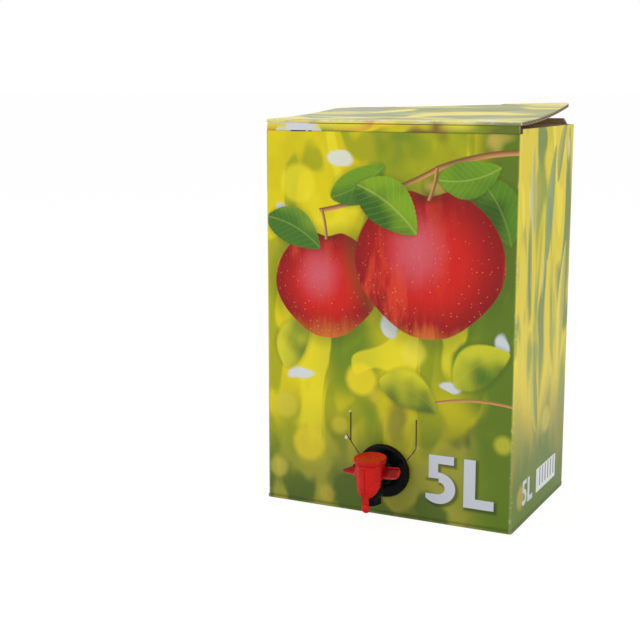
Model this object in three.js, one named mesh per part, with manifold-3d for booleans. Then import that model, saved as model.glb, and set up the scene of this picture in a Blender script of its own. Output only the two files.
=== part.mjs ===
// A five litre bag in box: a printed corrugated carton with a filled film bag inside and a self-closing tap.
// Millimetres, +Z up, the front faces -Y, and the origin is the middle of the carton's base.
import * as THREE from "three";
import { mergeVertices } from "three/addons/utils/BufferGeometryUtils.js";
import Module from "manifold-3d";

const wasm = await Module();
wasm.setup();

// Board and carton
const board = 2.4;
const cartonWidth = 182;
const cartonDepth = 121.4;
const frontHeight = 269;
const rearStep = 0.5;
const sideStep = 4.6;
const seamDrop = 7.7;
const sideHeight = frontHeight - sideStep;
const rearHeight = frontHeight - rearStep;
const seamHeight = frontHeight - seamDrop;
const wallCornerRadius = 2.6;
const seamWidth = 0.8;
const scoreDepth = 0.5;
const slitWidth = 0.8;
const stripInset = 1.6;
const rearEarSlopeStart = 7.7;
const rearEarSlopeEnd = 5.2;
const glueTabWidth = 28;
const lockReach = 40;
const lockStep = 11;
const edgeGap = 0.3;

// Dust flaps, folded in over the bag from the two side walls
const dustFlapLength = 66;
const dustFlapTaper = 9;
const dustFlapFrontClear = 6;
const dustFlapRearClear = 10;
const dustFlapDroop = 3.5;

// Lid, hinged on the top front edge and curled up towards its back
const lidRearClearance = 9.4;
const lidDepth = cartonDepth - lidRearClearance;
const lidSideInset = 1;
const lidFrontRound = 1.8;
const lidCornerRadius = 5;
const lidRiseLeft = 5.6;
const lidRiseRight = 10.7;
const lidCurlPower = 1.8;
const lidTongueWidth = 80;
const lidTongueRecess = 3.5;
const lidTongueLength = 21;
const lidTongueCornerRadius = 8;
const lidTongueLean = 2;

// Tap hole and the push-in tab above it
const holeHeight = 33.2;
const holeRadius = 16.8;
const tabCentre = -1.4;
const tabHalfWidth = 24.3;
const tabShoulderHeight = 16.6;
const tabTopHeight = 37;
const tabFootHalfWidth = 14.5;
const tabFootHeight = 3.5;
const tabTornLength = 5;

// Filled bag
const bagSideGap = 0.4;
const bagFrontGap = 2.2;
const bagBottomGap = 0.4;
const bagHeadroom = 12.9;
const bagTopHeight = sideHeight - bagHeadroom;
const bagEdgeRadius = 16;
const bagTopRearRadius = 30;
const bagEndRadius = 20;
const bagPocketRadius = 27.5;
const bagPocketDepth = 4.2;

// Fitment: the gland and the tap share one axis, which droops and rolls a little in the carton
const fitmentDroop = 4.5;
const fitmentRoll = 0.6;
const fitmentOffset = 0.8;
const glandDiscRadius = 25;
const glandDiscThickness = 1.4;
const glandDiscStandoff = 4.9;
const glandNeckRadius = 14.6;
const glandBore = 12.2;
const glandCollarRadius = 17.6;
const glandCollarBack = -1.9;
const glandCollarFront = -3.2;
const fitGap = 0.3;

// Tap body
const flangeRadius = 18.8;
const flangeLip = 2.2;
const flangeThickness = 2.4;
const flangeCrown = 1.1;
const spigotWall = 1.6;
const spoutRadius = 7.5;
const spoutBore = 5.6;
const barrelReach = 24.8;
const barrelRadius = 8.2;
const barrelTop = 9;
const barrelWaist = -4.5;
const bowlRadius = 6.9;
const nozzleTop = -11.2;
const nozzleRadius = 6.6;
const nozzleBottom = -15.6;
const nozzleBore = 5.3;
const chamberRadius = 6.6;
const seatTop = -8;
const seatBottom = -10;
const seatRadius = 4.6;
const bridgeHeight = 4.3;
const bridgeThickness = 1.1;
const bridgeWidth = 6.6;
const ribThickness = 1.6;

// Lever
const leverTurn = 40;
const capTop = 16.8;
const capRimDepth = 2.6;
const capRadius = 11.1;
const capRimWidth = 1.3;
const capDish = 0.8;
const capThickness = 2.1;
const sleeveRadius = 10;
const sleeveBore = 8.7;
const sleeveBottom = 7.9;
const skirtAngle = 76;
const skirtFoot = 3.4;
const capGrooveRadius = 9.5;
const hoodHalfWidth = 8.8;
const hoodBottom = -8.9;
const hoodShoulder = -1;
const hoodScoreTop = 11.7;
const hoodScoreBottom = -6;
const tongueWidth = 4.4;
const tongueThickness = 1;
const tongueBottom = -19;
const tongueBulbHalfWidth = 2.9;
const tongueBulbHalfHeight = 3;
const wingReach = 20.4;
const wingWidth = 8;
const wingThickness = 2.3;
const wingRim = 0.9;
const wingRecess = 1.2;
const wingCentreHeight = 7.1;
const wingSetBack = 0;
const wingPitch = 48;
const wingSweep = 9;
const wingShoulderCut = 6.2;

// Valve: a stem with two lugs that the lever's ramps lift, a plug on its seat, and a diaphragm
const valveLift = 2.2;
const stemSide = 3.2;
const stemPinRadius = 1.5;
const lugReach = 7.4;
const lugWidth = 2;
const lugThickness = 1.1;
const rampBase = 9.4;
const rampLow = 9.9;
const rampInner = 5;
const rampLead = 14;
const plugRadius = 5.9;
const plugHeight = 2.8;
const diaphragmThickness = 1.3;
const diaphragmRadius = 7;

const rad = THREE.MathUtils.degToRad;

// Manifold solid of a closed geometry.
function solid(geometry) {
  const bare = geometry.index ? geometry.toNonIndexed() : geometry.clone();
  for (const name of Object.keys(bare.attributes)) {
    if (name !== "position") bare.deleteAttribute(name);
  }
  const merged = mergeVertices(bare, 1e-4);
  return new wasm.Manifold(
    new wasm.Mesh({
      numProp: 3,
      vertProperties: merged.attributes.position.array,
      triVerts: new Uint32Array(merged.index.array),
    }),
  );
}

// Three.js geometry of a manifold solid.
function geometryOf(manifold) {
  const mesh = manifold.getMesh();
  const geometry = new THREE.BufferGeometry();
  geometry.setAttribute("position", new THREE.BufferAttribute(mesh.vertProperties.slice(), 3));
  geometry.setIndex(new THREE.BufferAttribute(new Uint32Array(mesh.triVerts), 1));
  const flat = geometry.toNonIndexed();
  flat.computeVertexNormals();
  return flat;
}

// Box between two corners.
function box(x0, x1, y0, y1, z0, z1) {
  const geometry = new THREE.BoxGeometry(x1 - x0, y1 - y0, z1 - z0);
  geometry.translate((x0 + x1) / 2, (y0 + y1) / 2, (z0 + z1) / 2);
  return solid(geometry);
}

// Prism of an (x, z) outline between two depths y0 < y1.
function prismAlongY(shape, y0, y1, curveSegments = 12) {
  const geometry = new THREE.ExtrudeGeometry(shape, { depth: y1 - y0, bevelEnabled: false, curveSegments });
  geometry.rotateX(Math.PI / 2);
  geometry.translate(0, y1, 0);
  return solid(geometry);
}

// Prism of an (x, y) outline between two heights.
function prismAlongZ(shape, z0, z1, curveSegments = 12) {
  const geometry = new THREE.ExtrudeGeometry(shape, { depth: z1 - z0, bevelEnabled: false, curveSegments });
  geometry.translate(0, 0, z0);
  return solid(geometry);
}

// Body of revolution about the Y axis from [radius, y] points that close on the axis or on themselves.
function turnedOnY(points, segments = 48) {
  const profile = points.map(([r, y]) => new THREE.Vector2(r, y));
  return solid(new THREE.LatheGeometry(profile, segments));
}

// Body of revolution about the Z axis from [radius, z] points.
function turnedOnZ(points, segments = 40) {
  const profile = points.map(([r, z]) => new THREE.Vector2(r, z));
  const geometry = new THREE.LatheGeometry(profile, segments);
  geometry.rotateX(Math.PI / 2);
  return solid(geometry);
}

// Closed skin through rings of points, each ring wound anticlockwise about the direction of travel.
function loft(rings) {
  const count = rings[0].length;
  const positions = rings.flat().flatMap((p) => [p.x, p.y, p.z]);
  const index = [];
  for (let r = 0; r < rings.length - 1; r++) {
    for (let i = 0; i < count; i++) {
      const a = r * count + i;
      const b = r * count + ((i + 1) % count);
      index.push(a, b, b + count, a, b + count, a + count);
    }
  }
  const last = (rings.length - 1) * count;
  for (let i = 1; i < count - 1; i++) {
    index.push(0, i + 1, i);
    index.push(last, last + i, last + i + 1);
  }
  const geometry = new THREE.BufferGeometry();
  geometry.setAttribute("position", new THREE.Float32BufferAttribute(positions, 3));
  geometry.setIndex(index);
  return solid(geometry);
}

// Rounded rectangle about the origin.
function roundedRectangle(width, depth, radius) {
  const x = width / 2;
  const y = depth / 2;
  const shape = new THREE.Shape();
  shape.moveTo(-x + radius, -y);
  shape.lineTo(x - radius, -y);
  shape.absarc(x - radius, -y + radius, radius, -Math.PI / 2, 0);
  shape.lineTo(x, y - radius);
  shape.absarc(x - radius, y - radius, radius, 0, Math.PI / 2);
  shape.lineTo(-x + radius, y);
  shape.absarc(-x + radius, y - radius, radius, Math.PI / 2, Math.PI);
  shape.lineTo(-x, -y + radius);
  shape.absarc(-x + radius, -y + radius, radius, Math.PI, 1.5 * Math.PI);
  return shape;
}

// Polygon from a list of points.
function polygon(points) {
  return new THREE.Shape(points.map(([x, y]) => new THREE.Vector2(x, y)));
}

// Narrow slot along a path of points, as an outline of the given width.
function slotOutline(points, width) {
  const path = points.map(([x, y]) => new THREE.Vector2(x, y));
  const left = [];
  const right = [];
  path.forEach((point, i) => {
    const before = path[Math.max(i - 1, 0)];
    const after = path[Math.min(i + 1, path.length - 1)];
    const along = after.clone().sub(before).normalize();
    const across = new THREE.Vector2(-along.y, along.x).multiplyScalar(width / 2);
    left.push(point.clone().add(across));
    right.unshift(point.clone().sub(across));
  });
  return new THREE.Shape([...right, ...left]);
}

const frontFace = -cartonDepth / 2;
const rearFace = cartonDepth / 2;
const halfWidth = cartonWidth / 2;
const lidUnderside = frontHeight - board;

// Walls of the carton: one folded sheet, so the four panels are one tube with rounded creases.
function cartonWalls() {
  const outer = roundedRectangle(cartonWidth, cartonDepth, wallCornerRadius);
  const inner = roundedRectangle(cartonWidth - 2 * board, cartonDepth - 2 * board, edgeGap);
  outer.holes.push(inner);
  const tube = prismAlongZ(outer, 0, sideHeight, 5);
  const stripHalf = halfWidth - stripInset;
  const strip = box(
    -stripHalf, stripHalf, frontFace, frontFace + board, sideHeight - board, lidUnderside - edgeGap,
  );
  const rearTop = polygon([
    [-halfWidth + rearEarSlopeEnd, sideHeight - board],
    [halfWidth - rearEarSlopeEnd, sideHeight - board],
    [halfWidth - rearEarSlopeEnd, sideHeight],
    [halfWidth - rearEarSlopeStart, rearHeight],
    [-halfWidth + rearEarSlopeStart, rearHeight],
    [-halfWidth + rearEarSlopeEnd, sideHeight],
  ]);
  return tube.add(strip).add(prismAlongY(rearTop, rearFace - board, rearFace));
}

// Dust flap of the right wall: it folds in at the crease and droops onto the bag.
function dustFlap() {
  const root = halfWidth;
  const tip = halfWidth - dustFlapLength;
  const bend = root - board;
  const middle = (root + tip) / 2;
  const profile = new THREE.Shape();
  profile.moveTo(root, sideHeight - board);
  profile.quadraticCurveTo(root, sideHeight, bend, sideHeight);
  profile.quadraticCurveTo(middle, sideHeight, tip, sideHeight - dustFlapDroop);
  profile.lineTo(tip, sideHeight - dustFlapDroop - board);
  profile.quadraticCurveTo(middle, sideHeight - board, bend, sideHeight - board);
  const front = frontFace + dustFlapFrontClear;
  const rear = rearFace - dustFlapRearClear;
  const plan = polygon([
    [tip - 1, front + dustFlapTaper],
    [root - board, front],
    [root + 1, front],
    [root + 1, rear],
    [root - board, rear],
    [tip - 1, rear - dustFlapTaper],
  ]);
  return prismAlongY(profile, front, rear, 8).intersect(prismAlongZ(plan, sideHeight - 30, sideHeight + 5));
}

// Bottom of the carton: two layers of flaps, the outer one with the seam where its two halves lock.
function cartonBottom() {
  const inset = edgeGap;
  const outerLayer = box(
    -halfWidth + inset, halfWidth - inset, frontFace + inset, rearFace - inset, 0, board,
  );
  const innerX = halfWidth - board + inset;
  const innerY = rearFace - board + inset;
  const innerLayer = box(-innerX, innerX, -innerY, innerY, board - inset, 2 * board);
  const lockSeam = slotOutline(
    [
      [-innerX, 0],
      [-lockReach - lockStep, 0],
      [-lockReach, lockStep],
      [-lockStep, lockStep],
      [-lockStep + slitWidth, -lockStep],
      [lockReach, -lockStep],
      [lockReach + lockStep, 0],
      [innerX, 0],
    ],
    slitWidth,
  );
  const seam = prismAlongZ(lockSeam, -1, board - inset);
  const innerSlot = box(
    -slitWidth, slitWidth, -innerY + lockStep, innerY - lockStep, board, 2 * board + 1,
  );
  return outerLayer.add(innerLayer).subtract(seam).subtract(innerSlot);
}

// Openings cut in the front wall for the tap: the hole, and the slits of the push-in tab above it.
function tapCuts() {
  const hole = new THREE.CylinderGeometry(holeRadius, holeRadius, 4 * board, 48);
  hole.translate(fitmentOffset, frontFace, holeHeight);
  const cuts = [solid(hole)];
  const through = (path) => prismAlongY(slotOutline(path, slitWidth), frontFace - board, frontFace + 2 * board);
  for (const side of [-1, 1]) {
    const foot = [tabCentre + side * tabFootHalfWidth, holeHeight + tabFootHeight];
    const shoulder = [tabCentre + side * tabHalfWidth, holeHeight + tabShoulderHeight];
    cuts.push(through([foot, shoulder, [shoulder[0], holeHeight + tabTopHeight]]));
  }
  const run = tabHalfWidth - tabFootHalfWidth;
  const climb = tabShoulderHeight - tabFootHeight;
  const torn = tabTornLength / Math.hypot(run, climb);
  const tornX = tabCentre - tabHalfWidth - torn * run;
  const tornZ = holeHeight + tabShoulderHeight + torn * climb;
  const tornStart = [tabCentre - tabHalfWidth + slitWidth, holeHeight + tabShoulderHeight - slitWidth];
  cuts.push(through([tornStart, [tornX, tornZ]]));
  return cuts;
}

function cartonSolid() {
  let carton = cartonWalls().add(cartonBottom());
  const flap = dustFlap();
  carton = carton.add(flap).add(flap.mirror([1, 0, 0]));
  const glueTab = box(
    -halfWidth + board - edgeGap, -halfWidth + board + glueTabWidth,
    rearFace - 2 * board, rearFace - board + edgeGap, 2 * board, sideHeight - 4 * board,
  );
  carton = carton.add(glueTab);
  for (const side of [-1, 1]) {
    const edge = side * (halfWidth - stripInset / 2);
    carton = carton.subtract(
      box(
        edge - slitWidth, edge + slitWidth, frontFace - 1, frontFace + board + edgeGap,
        seamHeight, frontHeight,
      ),
    );
  }
  const seam = box(
    -halfWidth - 1, halfWidth + 1, frontFace - 1, frontFace + scoreDepth,
    seamHeight - seamWidth / 2, seamHeight + seamWidth / 2,
  );
  carton = carton.subtract(seam);
  for (const cut of tapCuts()) carton = carton.subtract(cut);
  return carton;
}

// Height that the curled lid gains at a place on it, from the crease to its back edge and across its twist.
function lidRise(x, depth) {
  const across = (x + halfWidth) / cartonWidth;
  const back = lidRiseLeft + (lidRiseRight - lidRiseLeft) * across;
  return back * Math.max(depth / lidDepth, 0) ** lidCurlPower;
}

// Lifts each vertex of a flat sheet to the curled lid's height.
function curl(geometry) {
  const position = geometry.getAttribute("position");
  for (let i = 0; i < position.count; i++) {
    const depth = position.getY(i) - frontFace;
    position.setZ(i, position.getZ(i) + lidRise(position.getX(i), depth));
  }
  return geometry;
}

// Profile in (depth, height) pushed along X in steps, so that it can be curled.
function sheetAlongX(points, width, steps) {
  const shape = polygon(points);
  const geometry = new THREE.ExtrudeGeometry(shape, { depth: width, bevelEnabled: false, steps });
  geometry.rotateX(Math.PI / 2);
  geometry.rotateZ(Math.PI / 2);
  geometry.translate(-width / 2, 0, 0);
  return geometry;
}

function lidSolid() {
  const top = frontHeight;
  const width = cartonWidth - 2 * lidSideInset;
  const steps = 16;
  const panel = [];
  for (let i = 0; i <= steps; i++) {
    const depth = board + ((lidDepth - board) * i) / steps;
    panel.push([frontFace + depth, lidUnderside]);
  }
  for (let i = steps; i >= 0; i--) {
    const depth = board + ((lidDepth - board) * i) / steps;
    panel.push([frontFace + depth, top]);
  }
  for (let i = 0; i <= 4; i++) {
    const angle = Math.PI / 2 + (Math.PI / 2) * (i / 4);
    panel.push([
      frontFace + lidFrontRound + lidFrontRound * Math.cos(angle),
      top - lidFrontRound + lidFrontRound * Math.sin(angle),
    ]);
  }
  panel.push([frontFace, lidUnderside]);
  const sheet = solid(curl(sheetAlongX(panel, width, 8)));

  const half = width / 2;
  const back = frontFace + lidDepth;
  const crease = back - lidTongueRecess;
  const tongueHalf = lidTongueWidth / 2;
  const plan = new THREE.Shape();
  plan.moveTo(-half, frontFace - 1);
  plan.lineTo(half, frontFace - 1);
  plan.lineTo(half, back - lidCornerRadius);
  plan.absarc(half - lidCornerRadius, back - lidCornerRadius, lidCornerRadius, 0, Math.PI / 2);
  plan.lineTo(tongueHalf + 2, back);
  plan.lineTo(tongueHalf, crease);
  plan.lineTo(-tongueHalf, crease);
  plan.lineTo(-tongueHalf - 2, back);
  plan.lineTo(-half + lidCornerRadius, back);
  plan.absarc(-half + lidCornerRadius, back - lidCornerRadius, lidCornerRadius, Math.PI / 2, Math.PI);
  const panelSolid = sheet.intersect(prismAlongZ(plan, lidUnderside - 5, top + 30, 8));

  const tongueProfile = [
    [crease - board, top],
    [crease - board, lidUnderside],
    [crease - board - lidTongueLean, top - lidTongueLength],
    [crease - lidTongueLean, top - lidTongueLength],
    [crease, lidUnderside],
    [crease - 0.3 * board, top - 0.3 * board],
  ];
  const tongueSheet = solid(curl(sheetAlongX(tongueProfile.reverse(), lidTongueWidth - 1, 8)));
  const foot = top - lidTongueLength;
  const reach = tongueHalf - 0.5;
  const corner = lidTongueCornerRadius;
  const trim = polygon([
    [-reach, top + lidRiseRight],
    [-reach, foot + corner + lidRise(-reach, lidDepth)],
    [-reach + corner, foot + lidRise(-reach, lidDepth) - 1],
    [-reach + corner, foot - 1],
    [reach - corner, foot - 1],
    [reach - corner, foot + lidRise(reach, lidDepth) - 1],
    [reach, foot + corner + lidRise(reach, lidDepth)],
    [reach, top + 2 * lidRiseRight],
  ]);
  return panelSolid.add(tongueSheet.intersect(prismAlongY(trim, crease - 3 * board, crease + 1)));
}

// Ring of a rounded rectangle at one height, with as many points in each corner.
function bagRing(halfX, front, rear, radius, z) {
  const perCorner = 7;
  const centres = [
    [halfX - radius, rear - radius, 0],
    [-halfX + radius, rear - radius, 90],
    [-halfX + radius, front + radius, 180],
    [halfX - radius, front + radius, 270],
  ];
  return centres.flatMap(([x, y, start]) =>
    Array.from({ length: perCorner }, (_, i) => {
      const angle = rad(start + (90 * i) / (perCorner - 1));
      return new THREE.Vector3(x + radius * Math.cos(angle), y + radius * Math.sin(angle), z);
    }),
  );
}

// Filled bag: it takes the box's form, with round edges and a rear top edge that clears the lid's tongue.
function bagSolid() {
  const halfX = halfWidth - board - bagSideGap;
  const front = frontFace + board + bagFrontGap;
  const rear = rearFace - 2 * board - bagSideGap;
  const bottom = 2 * board + bagBottomGap;
  const rings = [];
  const arcSteps = 7;
  for (let i = 0; i <= arcSteps; i++) {
    const angle = rad(8 + (82 * i) / arcSteps);
    const inset = bagEndRadius * (1 - Math.sin(angle));
    const z = bottom + bagEndRadius * (1 - Math.cos(angle)) - bagEndRadius * (1 - Math.cos(rad(8)));
    rings.push(bagRing(halfX - inset, front + inset, rear - inset, bagEdgeRadius, z));
  }
  for (let i = 0; i <= arcSteps; i++) {
    const angle = rad(90 - (82 * i) / arcSteps);
    const inset = bagEndRadius * (1 - Math.sin(angle));
    const rearInset = bagTopRearRadius * (1 - Math.sin(angle));
    const drop = bagTopRearRadius * (Math.cos(rad(8)) - Math.cos(angle));
    rings.push(bagRing(halfX - inset, front + inset, rear - rearInset, bagEdgeRadius, bagTopHeight - drop));
  }
  const pocket = new THREE.CylinderGeometry(bagPocketRadius, bagPocketRadius, 2 * bagPocketDepth, 40);
  pocket.translate(fitmentOffset, front, holeHeight);
  return loft(rings).subtract(solid(pocket));
}

// Gland: a disc welded inside the film, and a neck through the carton with a collar that grips the board.
function glandSolid() {
  return turnedOnY(
    [
      [glandBore, glandCollarFront],
      [glandBore, glandDiscStandoff + glandDiscThickness],
      [glandDiscRadius, glandDiscStandoff + glandDiscThickness],
      [glandDiscRadius, glandDiscStandoff],
      [glandNeckRadius + 1, glandDiscStandoff],
      [glandNeckRadius, glandDiscStandoff - 1],
      [glandNeckRadius, glandCollarBack],
      [glandCollarRadius, glandCollarBack],
      [glandCollarRadius, glandCollarFront + 0.4],
      [glandCollarRadius - 0.4, glandCollarFront],
      [glandBore, glandCollarFront],
    ].reverse(),
  );
}

// Tap body: flange and spigot on the Y axis, spout, and the upright barrel with its seat and nozzle.
function tapBodySolid() {
  const spigotRadius = glandBore - fitGap;
  const flangeBack = glandCollarFront - fitGap;
  const flangeFront = flangeBack - flangeThickness;
  const spigotEnd = glandDiscStandoff + glandDiscThickness + 0.8;
  const flange = turnedOnY(
    [
      [0, spigotEnd],
      [spigotRadius - 0.6, spigotEnd],
      [spigotRadius, spigotEnd - 0.9],
      [spigotRadius, flangeBack],
      [glandCollarRadius + fitGap, flangeBack],
      [glandCollarRadius + fitGap, -flangeLip],
      [flangeRadius - 0.3, -flangeLip],
      [flangeRadius, -flangeLip - 0.5],
      [flangeRadius, flangeFront + 1.2],
      [flangeRadius - 0.5, flangeFront + 0.4],
      [flangeRadius - 1.4, flangeFront],
      [flangeRadius * 0.62, flangeFront - flangeCrown],
      [spoutRadius + 1.6, flangeFront - flangeCrown],
      [spoutRadius, flangeFront - flangeCrown - 1.6],
      [spoutRadius, -barrelReach],
      [0, -barrelReach],
    ].reverse(),
  );
  const barrel = turnedOnZ([
    [0, nozzleBottom],
    [nozzleRadius - 0.5, nozzleBottom],
    [nozzleRadius, nozzleBottom + 0.5],
    [nozzleRadius, nozzleTop - 0.4],
    [nozzleRadius - 0.3, nozzleTop],
    [bowlRadius - 0.2, nozzleTop + 0.5],
    [bowlRadius + 0.7, (2 * nozzleTop + barrelWaist) / 3],
    [barrelRadius - 0.1, (nozzleTop + 2 * barrelWaist) / 3],
    [barrelRadius, barrelWaist],
    [barrelRadius, barrelTop - 0.4],
    [barrelRadius - 0.4, barrelTop],
    [0, barrelTop],
  ]).translate([0, -barrelReach, 0]);
  const chamber = turnedOnZ([
    [0, nozzleBottom - 1],
    [nozzleBore, nozzleBottom - 1],
    [nozzleBore, seatBottom - 0.9],
    [seatRadius, seatBottom - 0.5],
    [seatRadius, seatBottom],
    [chamberRadius, seatTop],
    [chamberRadius, barrelTop - 2.1],
    [diaphragmRadius + fitGap, barrelTop - 2.1],
    [diaphragmRadius + fitGap, barrelTop + 1],
    [0, barrelTop + 1],
  ]).translate([0, -barrelReach, 0]);
  const spigotBore = turnedOnY(
    [
      [0, spigotEnd + 1],
      [spigotRadius - spigotWall, spigotEnd + 1],
      [spigotRadius - spigotWall, flangeBack + 1],
      [spoutBore, flangeFront],
      [spoutBore, -barrelReach],
      [0, -barrelReach],
    ].reverse(),
    40,
  );
  const ribFoot = flangeRadius * 0.72;
  const rib = solid(
    new THREE.ExtrudeGeometry(
      polygon([
        [flangeFront - 0.2, -ribFoot],
        [flangeFront - 0.2, -spoutRadius + 1],
        [-barrelReach + barrelRadius - 1, -spoutRadius + 1],
        [-barrelReach + barrelRadius - 1, -spoutRadius - 1.5],
      ].reverse()),
      { depth: ribThickness, bevelEnabled: false },
    )
      .rotateX(Math.PI / 2)
      .rotateZ(Math.PI / 2)
      .translate(-ribThickness / 2, 0, 0),
  );
  const bridgeHalf = chamberRadius + 0.4;
  const guide = stemSide / 2 + fitGap;
  const bridge = box(
    -bridgeHalf, bridgeHalf, -barrelReach - bridgeWidth / 2, -barrelReach + bridgeWidth / 2,
    bridgeHeight, bridgeHeight + bridgeThickness,
  ).subtract(
    box(
      -guide, guide, -barrelReach - guide, -barrelReach + guide,
      bridgeHeight - 1, bridgeHeight + bridgeThickness + 1,
    ),
  );
  return flange.add(barrel).add(rib).subtract(spigotBore).subtract(chamber).add(bridge);
}

// One helical ramp inside the lever: its top climbs by the valve's lift as the lever turns.
function rampSolid() {
  const steps = 14;
  const rings = [];
  for (let i = 0; i <= steps; i++) {
    const turn = -rampLead + ((leverTurn + 2 * rampLead) * i) / steps;
    const climb = (valveLift * THREE.MathUtils.clamp(turn, 0, leverTurn)) / leverTurn;
    const direction = new THREE.Vector2(Math.cos(rad(-turn)), Math.sin(rad(-turn)));
    const at = (radius, z) => new THREE.Vector3(direction.x * radius, direction.y * radius, z);
    const outer = sleeveBore + 0.3;
    rings.push([
      at(rampInner, rampBase),
      at(rampInner, rampLow + climb),
      at(outer, rampLow + climb),
      at(outer, rampBase),
    ]);
  }
  return loft(rings);
}

// Front outline of the lever's hood, round at its foot.
function hoodOutline() {
  const shape = new THREE.Shape();
  shape.moveTo(-hoodHalfWidth, sleeveBottom + 2);
  shape.lineTo(-hoodHalfWidth + 0.5, hoodShoulder);
  shape.bezierCurveTo(-hoodHalfWidth + 1.2, hoodBottom * 0.6, -4.5, hoodBottom, 0, hoodBottom);
  shape.bezierCurveTo(4.5, hoodBottom, hoodHalfWidth - 1.2, hoodBottom * 0.6, hoodHalfWidth - 0.5, hoodShoulder);
  shape.lineTo(hoodHalfWidth, sleeveBottom + 2);
  return shape;
}

// One wing: a rounded tab, dished on its face, that points sideways and back; its top corner may be cut off.
function wingSolid(shoulderCut) {
  const root = sleeveBore + 0.4;
  const length = wingReach - root;
  const half = wingWidth / 2;
  const tab = (inset) => {
    const shape = new THREE.Shape();
    shape.moveTo(0, -half + inset);
    shape.lineTo(length - 1.3 * half, -half + inset);
    const tip = shoulderCut > 0 ? half - shoulderCut : 0.4 * half;
    shape.bezierCurveTo(length - 0.5 * half, -half + inset, length - inset, -half * 0.75, length - inset, tip);
    if (shoulderCut > 0) {
      shape.lineTo(length - inset - 0.1 * shoulderCut, half - 0.9 * shoulderCut);
      shape.lineTo(length - inset - 1.5 * shoulderCut, half - inset);
    } else {
      shape.quadraticCurveTo(length - inset, half - inset, length - 0.4 * half, half - inset);
    }
    shape.lineTo(0, half - inset);
    return shape;
  };
  const body = new THREE.ExtrudeGeometry(tab(0), {
    depth: wingThickness,
    bevelEnabled: false,
    curveSegments: 8,
  });
  const recess = new THREE.ExtrudeGeometry(tab(wingRim), {
    depth: wingThickness,
    bevelEnabled: false,
    curveSegments: 8,
  });
  recess.translate(2, 0, wingThickness - wingRecess);
  const place = (geometry) =>
    solid(
      geometry
        .translate(0, 0, -wingThickness / 2)
        .rotateX(Math.PI / 2 - rad(wingPitch))
        .rotateZ(rad(wingSweep))
        .translate(root, wingSetBack, wingCentreHeight),
    );
  return place(body).subtract(place(recess));
}

// Lever about its own turning axis: cap, sleeve, hood, wings, tamper tongue and ramps in one moulding.
function leverSolid() {
  const capUnderside = capTop - capThickness;
  const rim = capTop - capRimDepth;
  const shell = turnedOnZ([
    [0, capUnderside],
    [sleeveBore, capUnderside],
    [sleeveBore, sleeveBottom],
    [sleeveRadius, sleeveBottom],
    [sleeveRadius, rim - 1.5],
    [capGrooveRadius, rim - 0.8],
    [capGrooveRadius, rim - 0.5],
    [capRadius - 0.4, rim],
    [capRadius, rim + 0.4],
    [capRadius, capTop - 0.4],
    [capRadius - 0.4, capTop],
    [capRadius - capRimWidth, capTop],
    [capRadius - capRimWidth - 0.6, capTop - 0.5 * capDish],
    [capRadius * 0.4, capTop - capDish],
    [0, capTop - capDish],
  ]);
  const skirt = turnedOnZ([
    [sleeveBore, hoodBottom - 1],
    [sleeveRadius - 0.3, hoodBottom - 1],
    [sleeveRadius, sleeveBottom],
    [sleeveRadius - 0.3, sleeveBottom + 1],
    [sleeveBore + 0.3, sleeveBottom + 1],
    [sleeveBore, sleeveBottom],
    [sleeveBore, hoodBottom - 1],
  ]);
  const hood = skirt.intersect(prismAlongY(hoodOutline(), -2 * sleeveRadius, 0, 10));
  const sideReach = 2 * sleeveRadius;
  const wedge = polygon([
    [0, 0],
    [-sideReach * Math.sin(rad(skirtAngle)), -sideReach * Math.cos(rad(skirtAngle))],
    [-sideReach, -sideReach],
    [sideReach, -sideReach],
    [sideReach * Math.sin(rad(skirtAngle)), -sideReach * Math.cos(rad(skirtAngle))],
  ]);
  const cheeks = skirt.intersect(prismAlongZ(wedge, skirtFoot, sleeveBottom + 2));
  const tongueFront = -sleeveRadius + 0.2;
  const stalk = box(
    -tongueWidth / 2, tongueWidth / 2, tongueFront, tongueFront + tongueThickness,
    tongueBottom + tongueBulbHalfHeight, hoodBottom + 2.5,
  );
  const bulb = new THREE.SphereGeometry(1, 16, 10);
  bulb.scale(tongueBulbHalfWidth, 1.6 * tongueThickness, tongueBulbHalfHeight);
  bulb.translate(0, tongueFront - 0.2, tongueBottom + tongueBulbHalfHeight);
  const leftWing = wingSolid(wingShoulderCut).mirror([1, 0, 0]);
  let lever = shell.add(hood).add(cheeks).add(stalk).add(solid(bulb)).add(wingSolid(0)).add(leftWing);
  const ramp = rampSolid();
  lever = lever.add(ramp).add(ramp.rotate([0, 0, 180]));
  const score = box(
    -0.4, 0.4, -sleeveRadius - 1, -sleeveRadius + 0.5, hoodScoreBottom, hoodScoreTop,
  );
  return lever.subtract(score);
}

// The lugs rest clear of the ramps, which pass under their leading edges first.
const lugLead = THREE.MathUtils.radToDeg(Math.asin(lugWidth / 2 / rampInner));
const lugRest = rampLow + fitGap + (valveLift * lugLead) / leverTurn;

// Stem: a square rod with a round pin for the plug and two lugs over the lever's ramps.
function stemSolid() {
  const half = stemSide / 2;
  const plugTop = plugBottom + plugHeight;
  const rod = box(-half, half, -half, half, plugTop + fitGap, lugRest + lugThickness);
  const lugs = box(-lugReach, lugReach, -lugWidth / 2, lugWidth / 2, lugRest, lugRest + lugThickness);
  const pin = new THREE.CylinderGeometry(stemPinRadius, stemPinRadius, plugHeight, 20);
  pin.rotateX(Math.PI / 2);
  pin.translate(0, 0, plugTop + fitGap + 0.5 - plugHeight / 2);
  return rod.add(lugs).add(solid(pin));
}

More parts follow.
